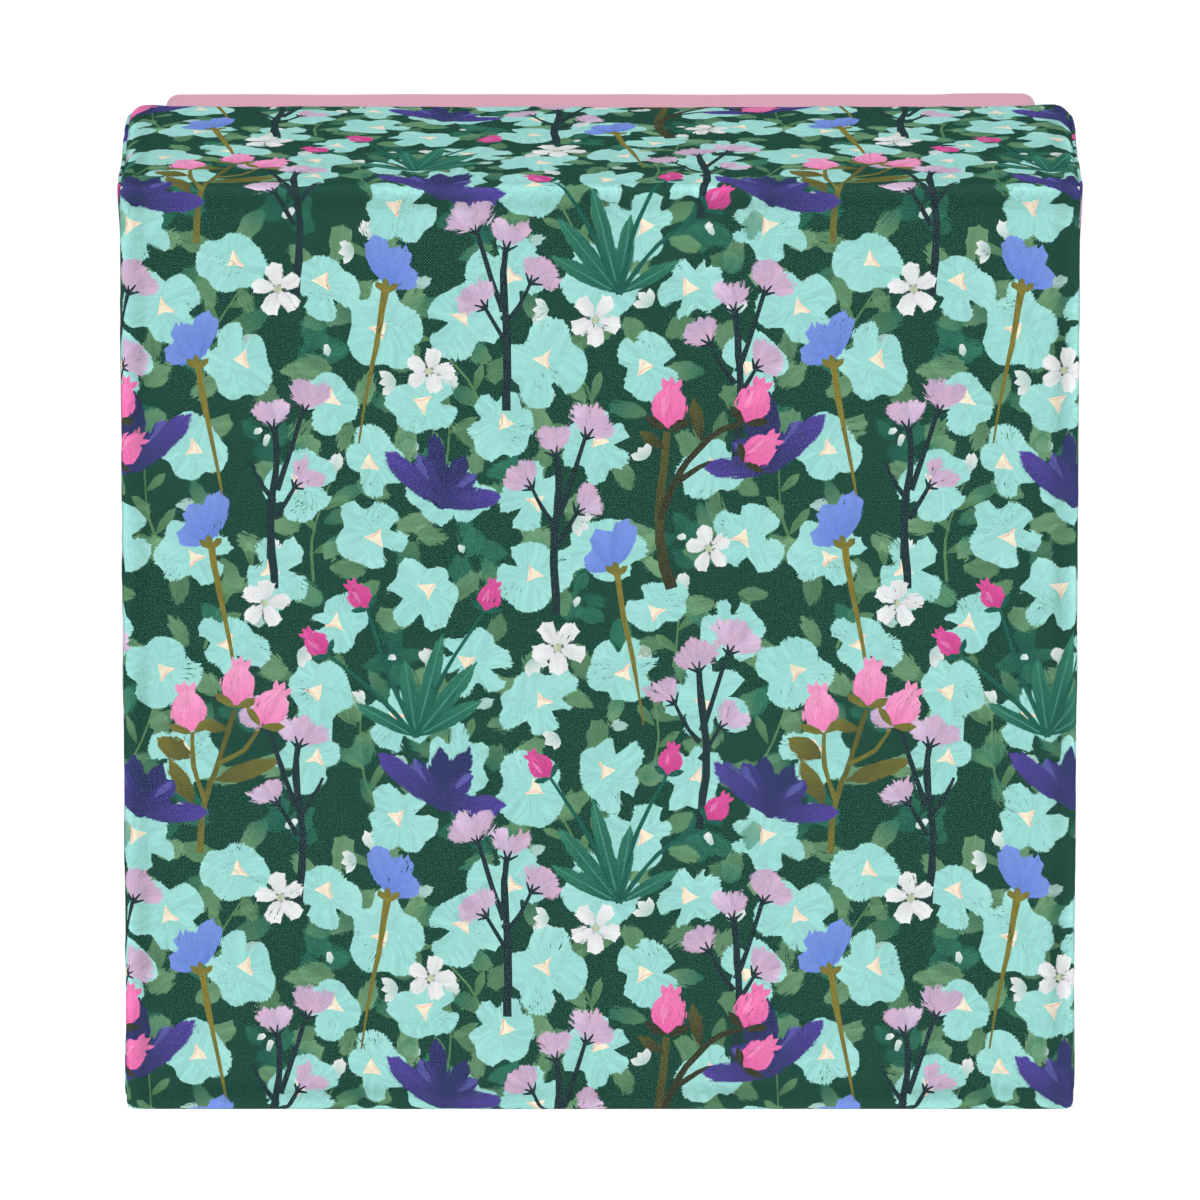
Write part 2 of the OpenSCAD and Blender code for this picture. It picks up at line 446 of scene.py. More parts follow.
def petal(rng, base, toward, length, width, root, tip=None, belly=0.6, blunt=0.45, rough=0.03,
          points=8, **paint):
    """A petal or leaf from its base: widest at belly, pointed or blunt at its tip."""
    toward = toward / abs(toward)
    left, right = [], []
    for i in range(1, points):
        t = i / points
        if t < belly:
            half = math.sin(t / belly * math.pi / 2) ** 0.8
        else:
            end = (t - belly) / (1 - belly)
            half = (1 - end ** (2 + 2 * blunt)) ** (1 - 0.6 * blunt)
        half *= width / 2
        side = [half * (1 + rng.uniform(-rough, rough)) for _ in range(2)]
        left.append(base + toward * complex(t * length, side[0]))
        right.append(base + toward * complex(t * length, -side[1]))
    outline = [base] + right + [base + toward * length] + left[::-1]
    return Shape(outline, root, tip, base, toward, length, **paint)


def curve(points, steps=8):
    """A smooth line through the points."""
    padded = [2 * points[0] - points[1]] + points + [2 * points[-1] - points[-2]]
    line = []
    for a, b, c, d in zip(padded, padded[1:], padded[2:], padded[3:]):
        for i in range(steps):
            t = i / steps
            line.append(
                0.5 * (2 * b + (c - a) * t + (2 * a - 5 * b + 4 * c - d) * t * t
                       + (3 * b - a - 3 * c + d) * t ** 3)
            )
    return line + [points[-1]]


def stem(rng, points, start_w, end_w, root, tip=None, steps=4, **paint):
    """A painted stem along a smooth line, from start_w to end_w wide."""
    line = curve(points, steps)
    left, right = [], []
    for i, p in enumerate(line):
        run = line[min(i + 1, len(line) - 1)] - line[max(i - 1, 0)]
        side = run / abs(run) * 1j
        t = i / (len(line) - 1)
        half = (start_w + (end_w - start_w) * t) / 2
        left.append(p + side * half * (1 + rng.uniform(-0.2, 0.2)))
        right.append(p - side * half * (1 + rng.uniform(-0.2, 0.2)))
    run = points[-1] - points[0]
    return Shape(right + left[::-1], root, tip, points[0], run, abs(run), stroke=0.4, fringe=0, **paint)


def lobed(rng, at, radius, lobes, squash, spin, points):
    """A round outline of uneven lobes, with notches of all depths between them."""
    lean = rng.uniform(0, 2 * math.pi)
    reaches = [rng.uniform(0.8, 1.14) for _ in range(lobes)]
    cuts = []
    for i in range(lobes):
        where = lean + 2 * math.pi * i / lobes + rng.uniform(-0.3, 0.3)
        depth = rng.choice((0.1, 0.18, 0.3, 0.52))
        cuts.append((where, depth, 0.15 if depth > 0.5 else rng.uniform(0.14, 0.3)))
    outline = []
    for i in range(points):
        t = 2 * math.pi * i / points
        turn = (t - lean) / (2 * math.pi) * lobes
        lobe = math.floor(turn)
        swell = math.sin(math.pi * (turn - lobe)) ** 0.5
        r = radius * (0.86 + (reaches[lobe % lobes] - 0.86) * swell)
        for where, depth, width in cuts:
            gap = (t - where + math.pi) % (2 * math.pi) - math.pi
            r -= radius * depth * math.exp(-((gap / width) ** 2))
        outline.append(at + complex(r * math.cos(t), r * math.sin(t) * squash) * spin)
    return outline


def blossom(rng, at):
    """A broad mint blossom with uneven lobes, dry-brushed edges and a cream throat."""
    radius = rng.uniform(6.2, 7.6)
    lobes = rng.choice((4, 5, 5, 6))
    outline = lobed(rng, at, radius, lobes, rng.uniform(0.74, 0.98), heading(rng.uniform(0, 180)), 36)
    shapes = [Shape(outline, "mint", "mint_light", at, heading(rng.uniform(0, 360)), 2 * radius, stroke=0.07,
                    fringe=0.5, radial=True)]
    throat = at + heading(rng.uniform(0, 360)) * radius * 0.12
    point = rng.uniform(0, 360)
    star = []
    for i in range(6):
        reach = rng.uniform(1.5, 2.2) if i % 2 == 0 else rng.uniform(0.6, 1.0)
        star.append(throat + heading(point + 60 * i + rng.uniform(-8, 8)) * reach)
    shapes.append(Shape(star, "cream", "cream_light", throat, heading(point), 2.4, stroke=0.15, fringe=0))
    start, end = throat + heading(point) * 1.8, throat + heading(point + 120) * 1.7
    shapes.append(stem(rng, [start, throat + heading(point + 60) * 0.5, end], 0.45, 0.2, "peach", steps=2))
    return shapes


def sage_dabs(rng, at, reach, count=3):
    """Loose leaf dabs that show round a flower's edge."""
    inks = ("sage", "sage", "sage_light", "teal_leaf")
    shapes = []
    start = rng.uniform(0, 360)
    for i in range(count):
        out = heading(start + 360 * i / count + rng.uniform(-35, 35))
        centre = at + out * reach * rng.uniform(0.85, 1.12)
        toward = out * heading(rng.uniform(-70, 70))
        shapes.append(blob(rng, centre, toward, rng.uniform(4.6, 7), rng.uniform(2.6, 4), rng.choice(inks),
                           rng.choice(inks), cover=rng.uniform(0.55, 0.85), **LOOSE))
    return shapes


def rosette(rng, at):
    """A low clump of blue-green leaf dabs, with one or two white dabs on it."""
    shapes = []
    for i in range(4):
        out = heading(100 * i + rng.uniform(-45, 45))
        centre = at + out * rng.uniform(1.2, 3.6)
        toward = out * heading(rng.uniform(-50, 50))
        shapes.append(blob(rng, centre, toward, rng.uniform(3.6, 6.4), rng.uniform(2.4, 3.8),
                           rng.choice(("teal_leaf", "teal")), "teal_leaf", cover=0.6, **LOOSE))
    for _ in range(rng.choice((1, 1, 2))):
        dab = at + heading(rng.uniform(0, 360)) * rng.uniform(0, 2.4)
        shapes.append(blob(rng, dab, heading(rng.uniform(0, 180)), rng.uniform(1.4, 2.4), 1.2, "pale_bud",
                           "white", rough=0.25, points=7, fringe=0))
    return shapes


def tassel(rng, at):
    """A small tuft of pale petals."""
    aim = rng.uniform(0, 360)
    return [petal(rng, at, heading(aim + fan), rng.uniform(2.4, 3.4), 1.4, "pale_bud", "white", **CRISP)
            for fan in (-44, -6, 34)]


def sprig(rng, at):
    """A thin arching stem with small leaves and pale buds."""
    aim = heading(rng.uniform(50, 130))
    bend = rng.choice((-1, 1)) * heading(90)
    line = [at, at + aim * 7 + aim * bend * 1.6, at + aim * 14 + aim * bend * 1.0, at + aim * 19]
    shapes = [stem(rng, line, 0.5, 0.25, "sprig", steps=3)]
    for i, share in enumerate((0.25, 0.45, 0.65, 0.85)):
        root = at + aim * 19 * share + aim * bend * 1.1
        out = aim * heading(rng.uniform(35, 60) * (1 if i % 2 else -1))
        shapes.append(petal(rng, root, out, rng.uniform(4.2, 6.0), 1.6, "sprig", "sage", blunt=0.1, points=5,
                            rough=0.15, fringe=0, stroke=0.3, cover=0.8))
    shapes.append(petal(rng, line[-1], aim, 3.6, 2.3, "pale_bud", "white", blunt=0.3, points=5, fringe=0.5))
    side = at + aim * 9 - aim * bend * 3.2
    shapes.append(petal(rng, side, aim / bend, 3.0, 1.9, "pale_bud", points=5, fringe=0.5))
    return shapes


def lilac_fan(rng, at, aim, size):
    """A feathery lilac flower on a dark calyx."""
    shapes = []
    turns = (-46, 44, 2) if rng.random() < 0.6 else (-30, 28)
    for turn in turns:
        inks = rng.choice((("lilac_pink", "lilac"), ("lilac", "lilac_light"), ("lilac", "lilac_pink")))
        shapes.append(petal(rng, at, heading(aim + turn + rng.uniform(-8, 8)), size * rng.uniform(0.95, 1.2),
                            size * rng.uniform(0.55, 0.7), *inks, blunt=0.6, rough=0.1, points=5,
                            stroke=0.22, fringe=1.3, radial=True))
    start = at - heading(aim) * 0.8
    for turn in (-54, -14, 26, 60):
        end = start + heading(aim + turn) * rng.uniform(1.5, 2.2)
        shapes.append(stem(rng, [start, end], 0.6, 0.25, "charcoal", steps=1))
    return shapes


def round_bud(rng, at, aim, size, inks, sepal):
    """A plump bud with a small crown, pale streaks and a pair of sepals."""
    up = heading(aim)
    shapes = [petal(rng, at + up * size * 0.66, heading(aim + turn), size * 0.5, size * 0.17, *inks,
                    blunt=0.1, **CRISP) for turn in (-28, 0, 24)]
    shapes.append(petal(rng, at - up * size * 0.06, up, size * 1.02, size * 0.82, *inks, belly=0.42,
                        blunt=0.25, stroke=0.22, fringe=0.7))
    shapes.append(petal(rng, at + up * size * 0.16 + up * 1j * size * 0.12, up, size * 0.56, size * 0.16,
                        "bud_light", points=4, cover=0.4, stroke=0.5, fringe=0.5))
    for turn in (62, -62):
        shapes.append(petal(rng, at - up * size * 0.1, heading(aim + turn), size * 0.6, size * 0.22, sepal,
                            blunt=0.0, stroke=0.3, **CRISP))
    return shapes


class Plant:
    """A plant with its foot at `at`. Its places and aims are given as if it faced right."""

    def __init__(self, rng, at):
        self.rng = rng
        self.at = at
        self.way = rng.choice((-1, 1))

    def place(self, x, y):
        return self.at + complex(self.way * x, y)

    def aim(self, degrees):
        return degrees if self.way == 1 else 180 - degrees

    def stem(self, places, *widths_and_inks):
        return stem(self.rng, [self.place(x, y) for x, y in places], *widths_and_inks)

    def leaf(self, x, y, aim, length, width, *inks, **paint):
        return petal(self.rng, self.place(x, y), heading(self.aim(aim)), length, width, *inks, **paint)

    def buds(self, rows, inks, sepal):
        """A bud for each row of x, y, aim and size."""
        shapes = []
        for x, y, aim, size in rows:
            shapes += round_bud(self.rng, self.place(x, y), self.aim(aim), size, inks, sepal)
        return shapes


# Each of these returns a plant's stems and leaves, and the flowers that lie over them


def white_flower(rng, at):
    """A flat white flower of five rounded petals, without a stem."""
    lean = rng.uniform(0, 72)
    size = rng.uniform(0.75, 1.1)
    shapes = []
    for i in range(5):
        out = heading(lean + 72 * i + rng.uniform(-6, 6))
        length, width = size * rng.uniform(4.3, 5.0), size * rng.uniform(2.9, 3.5)
        shapes.append(petal(rng, at + out * 0.4, out, length, width, "white_shade", "white", belly=0.62,
                            blunt=0.9, points=6, fringe=0.4))
    shapes.append(blob(rng, at, 1j, 1.7 * size, 1.6 * size, "moss", rough=0.1, points=7, stroke=0.3,
                       fringe=0))
    return [], shapes


def lilac_plant(rng, at):
    """A dark branching stem, and its lilac flowers."""
    plant = Plant(rng, at)
    up = 90 + plant.way * rng.uniform(-6, 6)
    sway = rng.uniform(-1.2, 1.2)
    stems = [
        plant.stem(((0.4, 0), (0.2 + sway, 12), (0, 22), (0.4, 28)), 1.4, 1.0, "charcoal"),
        plant.stem(((0, 17), (-1.8, 22), (-4.4, 30.5)), 1.1, 0.7, "charcoal"),
        plant.stem(((0.2, 12), (-3, 17.5)), 0.9, 0.6, "charcoal"),
        plant.stem(((0.3, 15), (2.6, 18), (4.6, 22)), 0.9, 0.5, "charcoal"),
    ]
    fans = ((0.6, 28, -8, 5.0), (-4.8, 31, 22, 5.2), (-3.4, 18, 48, 4.6), (4.9, 22.3, -40, 4.4))
    flowers = []
    for i, (x, y, turn, size) in enumerate(fans):
        if i < 3 or rng.random() < 0.75:
            flowers += lilac_fan(rng, plant.place(x, y), up + plant.way * turn, size)
    return stems, flowers


def bud_spray(rng, at):
    """An olive branch with olive leaves, and its three light pink buds."""
    plant = Plant(rng, at)
    stems = [
        plant.stem(((0, 0), (0.6, 8), (3.2, 16), (6.0, 25)), 1.1, 0.8, "olive", "olive_dark"),
        plant.stem(((0.9, 9), (-1.0, 15), (-1.2, 21)), 0.9, 0.6, "olive"),
        plant.stem(((3.0, 15.5), (7.5, 18), (10.2, 22)), 0.8, 0.6, "olive"),
    ]
    for leaf in ((-1.0, 8.5, 118, 9.0, 3.0), (2.2, 12.5, 18, 12.5, 3.2), (-1.4, 16.5, 150, 7.0, 3.8),
                 (5.0, 21.5, 170, 5.5, 2.0)):
        stems.append(plant.leaf(*leaf, "olive_dark", "olive", belly=0.45, blunt=0.05, points=7, stroke=0.3,
                                fringe=0.5))
    rows = ((6.2, 26, 84, 7.2), (-1.3, 21.5, 98, 7.4), (10.6, 22.6, 62, 7.0))
    return stems, plant.buds(rows, ("bud_pink", "bud_light"), "olive")


def tall_buds(rng, at):
    """A thick curved brown stem, and its rose buds."""
    plant = Plant(rng, at)
    stems = [
        plant.stem(((2, 0), (0, 8), (0.4, 18), (1.2, 27)), 1.9, 1.1, "brown", "olive_dark"),
        plant.stem(((0, 12), (3.4, 20), (9, 26.5), (14, 28.5)), 1.2, 0.9, "brown"),
        plant.stem(((2.4, 18), (8, 21.5), (13.5, 21)), 1.0, 0.7, "brown"),
    ]
    for leaf in ((7, 25, 100, 8, 2.3), (1, 24, 145, 5.5, 2.0)):
        stems.append(plant.leaf(*leaf, "brown", "olive_dark", blunt=0.05, points=6, stroke=0.3, fringe=0.4))
    rows = ((1.4, 28, 86, 7.4), (14.5, 29, 68, 7.0), (14.5, 22, 40, 6.4))
    return stems, plant.buds(rows, ("rose", "bud_pink"), "brown")


def teal_plant(rng, at):
    """A tuft of long blue-green leaves and stems, and its small hot pink buds."""
    plant = Plant(rng, at)
    leaves = []
    buds = []
    for aim, length, width in ((150, 13, 2.8), (128, 17, 3.0), (104, 19, 2.8), (82, 14, 2.8), (30, 12, 2.4)):
        out = heading(plant.aim(aim))
        leaves.append(petal(rng, at, out, length, width, "teal", "teal_leaf", belly=0.55, blunt=0.15,
                            stroke=0.35, fringe=0.4))
        rib = [at + out * 1.5, at + out * length * 0.92]
        leaves.append(stem(rng, rib, 0.3, 0.2, "teal_line", steps=3, cover=0.6))
    for aim, reach in ((118, 25), (70, 24), (44, 21)):
        out = heading(plant.aim(aim))
        bow = out * 1j * rng.uniform(-1.6, 1.6)
        end = at + out * reach
        leaves.append(stem(rng, [at, at + out * reach * 0.5 + bow, end], 0.9, 0.5, "teal"))
        tilt = math.degrees(math.atan2(out.imag, out.real)) + rng.uniform(-12, 20)
        buds += round_bud(rng, end, tilt, 5.0, ("hot_deep", "hot_pink"), "teal")
    return leaves, buds


def blue_tulip(rng, at):
    """A long tapering gold-green stem, and its blue flower of three uneven lobes."""
    plant = Plant(rng, at)
    up = 90 + plant.way * rng.uniform(2, 10)
    flower = []
    for turn, length, width in ((70, 5.8, 3.8), (24, 7.4, 4.0), (-16, 8.8, 4.2)):
        flower.append(petal(rng, at + 0.2j, heading(up + plant.way * turn), length, width, "blue",
                            "blue_light", belly=0.66, blunt=0.75, rough=0.05, points=7, fringe=0.5))
    for turn in (-50, 4, 44):
        flower.append(petal(rng, at - 1.2j, heading(up + turn), 2.6, 1.2, "gold", "olive", blunt=0.2,
                            **CRISP))
    return [plant.stem(((0, 0), (1.2, -8), (3.0, -17), (4.6, -27)), 1.3, 0.3, "gold", "olive")], flower


def violet_flower(rng, at):
    """A violet flower of a few long spreading brush strokes, and a leaf dab at its foot."""
    plant = Plant(rng, at)
    shapes = []
    strokes = ((112, 11, 3.4, "violet_dark"), (88, 13, 3.2, "violet_dark"), (140, 9, 3.2, "violet"),
               (64, 11, 3.0, "violet"), (176, 13, 3.4, "violet_bright"), (42, 14.5, 3.6, "violet_bright"))
    for aim, length, width, tip in strokes:
        out = heading(plant.aim(aim) + rng.uniform(-5, 5))
        shapes.append(petal(rng, at - out * 0.8, out, length * rng.uniform(0.85, 1.15), width,
                            "violet_dark", tip, belly=0.55, blunt=0.6, rough=0.06, stroke=0.3, fringe=0.8))
        if tip == "violet":
            shapes.append(petal(rng, at + out * length * 0.4 + out * 0.5j, out, length * 0.5, width * 0.4,
                                "violet_light", points=5, cover=0.5, stroke=0.5))
    return sage_dabs(rng, at - 2j, 4, count=1), shapes


def spread(rng, count, taken, clear):
    """count places on the repeat, each the best of many tries at staying clear of its kind and of taken."""

    def gap(p, q):
        dx = abs(p.real - q.real) % REPEAT_W
        dy = abs(p.imag - q.imag) % REPEAT_H
        return math.hypot(min(dx, REPEAT_W - dx), min(dy, REPEAT_H - dy))

    places = []
    for _ in range(count):
        best, best_gap = None, -1.0
        for _ in range(160):
            p = complex(rng.uniform(0, REPEAT_W), rng.uniform(0, REPEAT_H))
            near = min([gap(p, q) for q in places], default=99) / 2
            near = min([near] + [gap(p, q) * clear for q in taken])
            if near > best_gap:
                best, best_gap = p, near
        places.append(best)
    return places


# How many of each there are in a repeat
BLOSSOMS = 49
ROSETTES = 12
SPRIGS = 14
TASSELS = 10
# Each plant's painter, how many there are in a repeat, and how far its flowers are above its foot
PLANTS = ((violet_flower, 4, 4), (white_flower, 6, 0), (teal_plant, 2, 21), (lilac_plant, 6, 26),
          (bud_spray, 1, 27), (tall_buds, 1, 27), (blue_tulip, 4, 4))


def one_repeat():
    """All the shapes of one repeat, from the back of the print to its front."""
    rng = random.Random(PRINT_SEED)
    blossoms = spread(rng, BLOSSOMS, [], 1.0)
    between = spread(rng, ROSETTES + SPRIGS + TASSELS, blossoms, 1.0)
    shapes = []
    for at in between[:ROSETTES]:
        shapes += rosette(rng, at)
    for at in between[ROSETTES:-TASSELS]:
        shapes += sprig(rng, at - 8j)
    for at in blossoms:
        shapes += sage_dabs(rng, at, 7.0, count=rng.choice((3, 3, 4)))
    for at in blossoms:
        shapes += blossom(rng, at)
    for at in between[-TASSELS:]:
        shapes += tassel(rng, at)
    plants, front = [], []
    for paint, count, rise in PLANTS:
        for at in spread(rng, count, plants, 0.8):
            plants.append(at)
            stems, flowers = paint(rng, at - rise * 1j)
            shapes += stems
            front += flowers
    return shapes + front


def rule_lines():
    """The lines along which the flat cloth bends, as pairs of ends."""
    edge = HALF + END_DEPTH
    width = HALF + TUCK
    bends = [HALF + d * EDGE_R for d in (-1, -0.66, -0.33, 0, 0.33, 0.66, 1)]
    bends += [HALF + d for d in (-5, -3.8, -2.6, 3)]
    rim = [HALF + WALL + d * RIM_OUTER_R for d in (-1.2, -0.6, 0, 0.6, 1.2)]
    rim += [HALF + INSIDE_DEPTH + d * RIM_INNER_R for d in (-1, 0, 1)]
    lines = []
    for at in [side * b for b in bends + rim for side in (-1, 1)]:
        far = edge if abs(at) <= width else width
        lines.append((complex(at, -far), complex(at, far)))
        lines.append((complex(-far, at), complex(far, at)))
    for past in (0.0, 0.3, 0.6, 0.9):
        y = HALF - FOLD_INSET + past
        for x_way, y_way in ((1, 1), (-1, 1), (-1, -1), (1, -1)):
            lines.append((complex((HALF + CORNER_EASE) * x_way, y * y_way), complex(edge * x_way, y * y_way)))
    return lines


FRINGE_END = 0.98      # paint is past its fringe from this share of its width on


def cut(outlines, edges):
    """Triangulates the plane along closed outlines and single edges. Returns the points, the triangles
    and, for each triangle, the numbers of the outlines round it."""
    points, faces, pairs = [], [], []
    for outline in outlines:
        faces.append(list(range(len(points), len(points) + len(outline))))
        points.extend(Vector((p.real, p.imag)) for p in outline)
    for a, b in edges:
        pairs.append((len(points), len(points) + 1))
        points.extend((Vector((a.real, a.imag)), Vector((b.real, b.imag))))
    made = geometry.delaunay_2d_cdt(points, pairs, faces, 1, 1e-5, True)
    return [complex(p.x, p.y) for p in made[0]], made[2], made[5]


def on_cloth(outline):
    """Whether an outline reaches a part of the cloth that can be seen."""
    width = HALF + TUCK
    end = HALF + INSIDE_DEPTH + 4
    x = [p.real for p in outline]
    y = [p.imag for p in outline]
    upright = max(x) > -width and min(x) < width and max(y) > -end and min(y) < end
    level = max(y) > -width and min(y) < width and max(x) > -end and min(x) < end
    return upright or level


def repeats(shapes):
    """Every copy of the repeat's shapes that lies on the cloth, from back to front."""
    across = math.ceil((HALF + END_DEPTH) / REPEAT_W)
    up = math.ceil((HALF + END_DEPTH) / REPEAT_H)
    for shape in shapes:
        for i in range(-across - 1, across + 1):
            for j in range(-up - 1, up + 1):
                copy = shape.moved(complex(i * REPEAT_W, j * REPEAT_H))
                if on_cloth(copy.outline):
                    yield copy


def straightened(links, points, slack=0.08):
    """Drops points where a line runs on almost straight. links holds each point's neighbours."""
    for here in list(links):
        if len(links[here]) != 2:
            continue
        a, b = links[here]
        run = points[b] - points[a]
        off = abs(((points[here] - points[a]) * run.conjugate()).imag) / max(abs(run), 1e-9)
        if off < slack and b not in links[a]:
            links[a].remove(here)
            links[b].remove(here)
            links[a].add(b)
            links[b].add(a)
            del links[here]
    return links


def seen_at(around, past_fringe, drawn, panels):
    """What shows inside these outlines: the panel, the shapes from back to front, and whether the front
    one is past its fringe. None off the cloth."""
    panel = min(around, default=panels)
    if panel >= panels:
        return None
    stack = []
    for number in sorted((n - panels for n in around if n >= panels), reverse=True):
        hides = drawn[number].cover == 1.0 and (past_fringe or len(stack) > 0)
        stack.append(number)
        if hides:
            break
    return panel, tuple(stack[::-1]), past_fringe


def seams_between(points, triangles, seen):
    """The lines between triangles that look different, as pairs of ends."""
    sides = {}
    for corners, here in zip(triangles, seen):
        for a, b in zip(corners, corners[1:] + corners[:1]):
            sides.setdefault((min(a, b), max(a, b)), []).append(here)
    links = {}
    for (a, b), pair in sides.items():
        if len(pair) == 1 or pair[0] != pair[1]:
            links.setdefault(a, set()).add(b)
            links.setdefault(b, set()).add(a)
    links = straightened(links, points)
    return [(points[a], points[b]) for a, others in links.items() for b in others if a < b]


def cut_print(shapes):
    """The flat cloth, cut along the outlines that show. Returns its points, its triangles, and for each
    way it is coloured: the shapes from back to front, whether past the fringe, and the triangles."""
    drawn = list(repeats(shapes))
    panels = [[complex(-HALF, -HALF), complex(HALF, -HALF), complex(HALF, HALF), complex(-HALF, HALF)]]
    panels += [flap_outline(quarter) for quarter in range(4)]
    rings = [pair for shape in drawn for pair in zip(shape.inner, shape.inner[1:] + shape.inner[:1])]
    points, triangles, owners = cut(panels + [shape.outline for shape in drawn], rings)
    middles = np.array(points)[np.array(triangles)].mean(axis=1)
    fronts = {}
    for number, around in enumerate(owners):
        fronts.setdefault(max(around, default=0) - len(panels), []).append(number)
    past_fringe = np.ones(len(triangles), bool)
    for front, members in fronts.items():
        if front >= 0:
            past_fringe[members] = drawn[front].edge(middles[members]) > FRINGE_END
    seen = [seen_at(around, past, drawn, len(panels)) for around, past in zip(owners, past_fringe.tolist())]
    rough = BVHTree.FromPolygons([(p.real, p.imag, 0.0) for p in points], triangles)
    points, triangles, _ = cut([], seams_between(points, triangles, seen) + rule_lines())
    kept, coloured = [], {}
    for corners in triangles:
        middle = sum(points[c] for c in corners) / 3
        found = rough.ray_cast((middle.real, middle.imag, 1.0), (0, 0, -1))[2]
        if found is not None and seen[found] is not None:
            coloured.setdefault(seen[found][1:], []).append(len(kept))
            kept.append(corners)
    coloured = [([drawn[n] for n in stack], past, members) for (stack, past), members in coloured.items()]
    return np.array([(p.real, p.imag) for p in points]), np.array(kept), coloured


# --- Materials ---------------------------------------------------------------------------------


class Value:
    """What a node of a material gives. A number can be added to, taken from and multiplied."""

    def __init__(self, nodes, socket):
        self.nodes = nodes
        self.socket = socket

    def __add__(self, other):
        return self.nodes.maths("ADD", self, other)

    def __sub__(self, other):
        return self.nodes.maths("SUBTRACT", self, other)

    def __mul__(self, other):
        return self.nodes.maths("MULTIPLY", self, other)

    def clamped(self):
        """The same value, kept between 0 and 1."""
        self.socket.node.use_clamp = True
        return self


class Nodes:
    """A new material with one Principled shader, and short calls to add nodes to it."""

    def __init__(self, name, roughness, specular=0.5):
        self.material = bpy.data.materials.new(name)
        self.material.use_nodes = True
        self.tree = self.material.node_tree
        self.shader = self.tree.nodes["Principled BSDF"].inputs
        self.shader["Roughness"].default_value = roughness
        self.shader["Specular IOR Level"].default_value = specular

    def feed(self, value, socket):
        """Links a value to a socket, or sets a plain number or colour there."""
        if isinstance(value, Value):
            self.tree.links.new(value.socket, socket)
        else:
            socket.default_value = value

    def add(self, kind, inputs, output=0, **settings):
        """A new node's output."""
        node = self.tree.nodes.new(kind)
        for name, value in settings.items():
            setattr(node, name, value)
        for name, value in inputs.items():
            self.feed(value, node.inputs[name])
        return Value(self, node.outputs[output])

    def maths(self, operation, *values):
        return self.add("ShaderNodeMath", dict(enumerate(values)), operation=operation)

    def position(self, scale=(1, 1, 1)):
        """Object coordinates in millimetres, times scale."""
        place = self.add("ShaderNodeTexCoord", {}, "Object")
        return self.add("ShaderNodeMapping", {"Vector": place, "Scale": [s / MM for s in scale]})

    def noise(self, vector, scale, detail=3.0, roughness=0.5):
        inputs = {"Vector": vector, "Scale": scale, "Detail": detail, "Roughness": roughness}
        return self.add("ShaderNodeTexNoise", inputs, "Fac")

    def attribute(self, name, output):
        return self.add("ShaderNodeAttribute", {}, output, attribute_name=name)

    def ramp(self, factor, *stops):
        """A colour from stops of (place, sRGB colour)."""
        made = self.add("ShaderNodeValToRGB", {0: factor}, "Color")
        elements = made.socket.node.color_ramp.elements
        while len(elements) < len(stops):
            elements.new(0.5)
        for element, (place, colour) in zip(elements, stops):
            element.position = place
            element.color = (*linear(colour), 1)
        return made

    def mix(self, factor, a, b):
        return self.add("ShaderNodeMix", {0: factor, 6: a, 7: b}, 2, data_type="RGBA")

    def colour(self, value):
        self.feed(value, self.shader["Base Color"])

    def bump(self, height, distance_mm, strength):
        inputs = {"Height": height, "Distance": distance_mm * MM, "Strength": strength}
        self.feed(self.add("ShaderNodeBump", inputs), self.shader["Normal"])

    def rough_from(self, factor, low, high):
        inputs = {"Value": factor, "To Min": low, "To Max": high}
        self.feed(self.add("ShaderNodeMapRange", inputs), self.shader["Roughness"])


THREAD = 0.24          # thread pitch of the cotton, whose weave repeats every two threads
BARE_THREAD = (130, 190, 170)


def printed_cotton():
    """Fine plain-woven cotton. The print's inks and brush marks come from the mesh."""
    m = Nodes("printed_cotton", 0.8, 0.0)
    m.shader["Diffuse Roughness"].default_value = 0.3
    cloth = m.attribute("cloth", "Vector")
    brush = m.attribute("brush", "Vector")
    marks = m.noise(brush, 1.0, 2.0, 0.6) - 0.5
    fuzz = m.noise(cloth, 2.2, 2.0) - 0.5
    dry = (m.noise(cloth, 0.17, 0.0) - 0.36).clamped() * 9.0
    edge = (m.attribute("under", "Alpha") - 0.5) + marks * dry + fuzz * 0.7
    edge = (edge * 4.0 + 0.5).clamped()
    colour = m.mix(edge, m.attribute("under", "Color"), m.attribute("ink", "Color"))

    fibre = m.noise(cloth, 3.4, 2.0, 0.6)
    wander = m.noise(cloth, 0.9, 1.0) * 2.4
    weave = m.maths("MULTIPLY", *(
        m.maths("SINE", m.add("ShaderNodeSeparateXYZ", {0: cloth}, axis) * (math.pi / THREAD) + wander)
        for axis in "XY"
    ))

    streaks = marks * (m.attribute("ink", "Alpha") * 2.2)
    grain = (fibre - 0.5) * 0.45
    pools = (m.noise(brush, 0.3, 0.0) - 0.5) * 0.3
    shade = m.add("ShaderNodeHueSaturation", {"Value": (streaks + grain) + (pools + 1.0), "Color": colour})
    bare = (weave * 0.35 + fibre * 0.9 - 0.52).clamped()
    m.colour(m.mix(bare, shade, (*linear(BARE_THREAD), 1)))
    m.bump(weave * 0.5 + fibre * 0.8, 0.05, 0.5)
    m.rough_from(fibre, 0.6, 0.8)
    return m.material


